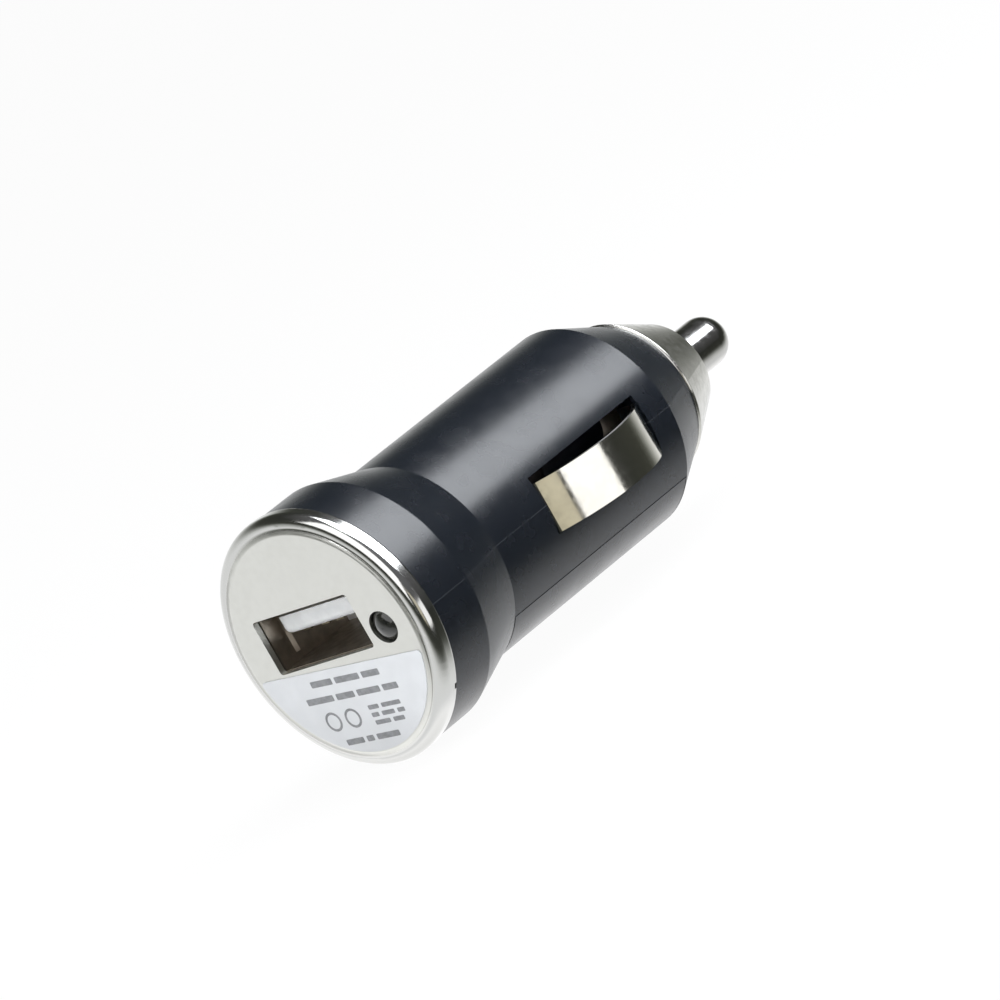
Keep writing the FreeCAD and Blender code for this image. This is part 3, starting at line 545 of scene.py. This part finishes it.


# Stage

# Floor that curves up into a wall all round, near enough for a camera's far clip
FLOOR_RADIUS = 1.5
COVE_RADIUS = 0.5
WALL_HEIGHT = 2.0
COVE_STEPS = 12
STAGE_STEPS = 96
STAGE_WHITE = (1.0, 1.0, 1.0, 1.0)
STAGE_PAINT = {"Base_Color": (0.9, 0.9, 0.9, 1.0), "Roughness": 0.9}
# How much of the stage is seen as plain white; the rest takes the part's shadow
STAGE_GLOW = 0.96


def stage_white():
    """White that the camera sees as it is, with a share that takes the part's shadow."""
    material, tree, shader = new_material("stage_white", **STAGE_PAINT)
    glow = add(tree, "ShaderNodeEmission", {"Color": STAGE_WHITE, "Strength": 1.0})
    rays = add(tree, "ShaderNodeLightPath").outputs
    mirrored = math_node(tree, "ADD", rays["Is Glossy Ray"], rays["Is Transmission Ray"])
    seen = math_node(tree, "ADD", rays["Is Camera Ray"], mirrored)
    share = math_node(tree, "MULTIPLY", seen, STAGE_GLOW)
    shaders = {0: share, 1: shader.outputs["BSDF"], 2: glow.outputs["Emission"]}
    blend = add(tree, "ShaderNodeMixShader", shaders)
    tree.links.new(blend.outputs["Shader"], tree.nodes["Material Output"].inputs["Surface"])
    return material


def stage_piece(name, mesh, material):
    """Turns a mesh into a piece of the stage that reflections don't show."""
    data = bpy.data.meshes.new(name)
    mesh.to_mesh(data)
    mesh.free()
    data.materials.append(material)
    piece = link(bpy.data.objects.new(name, data))
    piece.location.z = cad_box[0].z
    # The photograph's table leans against the part's frame: the world carries it for reflections
    piece.visible_glossy = False
    return piece


def make_stage():
    """Plain white floor, which keeps a light shadow, and the wall that it curves up into."""
    material = stage_white()
    disc = bmesh.new()
    bmesh.ops.create_circle(disc, cap_ends=True, segments=STAGE_STEPS, radius=FLOOR_RADIUS)
    stage_piece("floor", disc, material)
    profile = []
    for step in range(COVE_STEPS + 1):
        angle = math.pi / 2 * step / COVE_STEPS
        outward, upward = math.sin(angle), 1 - math.cos(angle)
        profile.append((FLOOR_RADIUS + COVE_RADIUS * outward, COVE_RADIUS * upward))
    profile.append((FLOOR_RADIUS + COVE_RADIUS, WALL_HEIGHT))
    wall = bmesh.new()
    turns = [2 * math.pi * step / STAGE_STEPS for step in range(STAGE_STEPS)]
    circle = [(math.cos(turn), math.sin(turn)) for turn in turns]
    rings = [
        [wall.verts.new((radius * x, radius * y, height)) for x, y in circle]
        for radius, height in profile
    ]
    for lower, upper in zip(rings, rings[1:]):
        for step in range(STAGE_STEPS):
            after = (step + 1) % STAGE_STEPS
            corners = (lower[step], upper[step], upper[after], lower[after])
            wall.faces.new(corners).smooth = True
    backdrop = stage_piece("backdrop", wall, material)
    # The wall is only looked at, so it doesn't change the light on the part
    backdrop.visible_diffuse = False
    backdrop.visible_shadow = False


# The room's light by the sine of the height over the photograph's table:
# its pale top below, a dim band at its far edge and a grey room above
ROOM_TONES = [
    (-1.0, (1.15, 1.15, 1.15)),
    (-0.77, (1.30, 1.30, 1.31)),
    (-0.64, (1.00, 1.01, 1.02)),
    (-0.50, (0.98, 0.99, 0.99)),
    (-0.37, (0.80, 0.81, 0.80)),
    (-0.24, (0.42, 0.43, 0.41)),
    (-0.12, (0.11, 0.115, 0.10)),
    (-0.035, (0.05, 0.052, 0.043)),
    (0.28, (0.035, 0.037, 0.032)),
    (0.5, (0.09, 0.09, 0.09)),
    (1.0, (0.18, 0.18, 0.19)),
]


def make_world():
    """Soft room round the part."""
    world = bpy.data.worlds.new("studio")
    world.use_nodes = True
    bpy.context.scene.world = world
    tree = world.node_tree
    direction = add(tree, "ShaderNodeTexCoord").outputs["Generated"]
    vectors = {0: direction, 1: table_axes()[2]}
    sine = add(tree, "ShaderNodeVectorMath", vectors, operation="DOT_PRODUCT").outputs["Value"]
    ramp = add(tree, "ShaderNodeValToRGB")
    elements = ramp.color_ramp.elements
    while len(elements) < len(ROOM_TONES):
        elements.new(0.5)
    for element, (level, colour) in zip(elements, ROOM_TONES):
        element.position = (level + 1) / 2
        element.color = (*colour, 1.0)
    # The ramp runs from 0 to 1 as the sine runs from -1 to 1
    halves = {0: sine, 1: 0.5, 2: 0.5}
    share = add(tree, "ShaderNodeMath", halves, operation="MULTIPLY_ADD").outputs[0]
    tree.links.new(share, ramp.inputs["Fac"])
    tree.links.new(ramp.outputs["Color"], tree.nodes["Background"].inputs["Color"])


LAMP_WHITE = (1.0, 1.0, 1.0)
LAMP_COOL = (0.93, 0.96, 1.0)
LAMP_CREAM = (1.0, 0.92, 0.70)
LAMP_DISTANCE = 0.7
# Lamps: turn to the right of straight ahead, rise over the table, width and height as seen from
# the part, all in degrees, then brightness, colour, distance in metres and roll in degrees
LAMPS = {
    "overhead_softbox": (12, 62, 64, 46, 7.3, LAMP_COOL, 0.24, 10),
    "right_softbox": (125, 27, 49, 20, 1.3, LAMP_WHITE, LAMP_DISTANCE, 0),
    "warm_card": (168, 26, 20, 22, 0.6, LAMP_CREAM, LAMP_DISTANCE, 0),
    "front_softbox": (-130, 40, 70, 50, 1.6, LAMP_WHITE, LAMP_DISTANCE, 0),
}


def make_lamp(name, turn, rise, width, height, brightness, colour, distance, roll):
    """Area lamp that faces the part and that the camera doesn't see."""
    data = bpy.data.lights.new(name, "AREA")
    data.shape = "RECTANGLE"
    data.size = 2 * distance * math.tan(math.radians(width / 2))
    data.size_y = 2 * distance * math.tan(math.radians(height / 2))
    data.color = colour
    data.energy = brightness * math.pi * data.size * data.size_y
    lamp = link(bpy.data.objects.new(name, data))
    outward = table_direction(turn, rise)
    level = table_axes()[2].cross(outward).normalized()
    level.rotate(Matrix.Rotation(math.radians(roll), 3, outward))
    place = CAMERA_AIM + outward * distance
    lamp.matrix_world = from_axes(level, outward.cross(level), outward, place)
    lamp.visible_camera = False


make_camera()
finishes = make_materials()
dress_nodes(finishes)
make_label_print()
make_spring(finishes)
make_stage()
make_world()
for lamp_name, lamp_settings in LAMPS.items():
    make_lamp(lamp_name, *lamp_settings)
bpy.context.scene.view_settings.view_transform = "Standard"
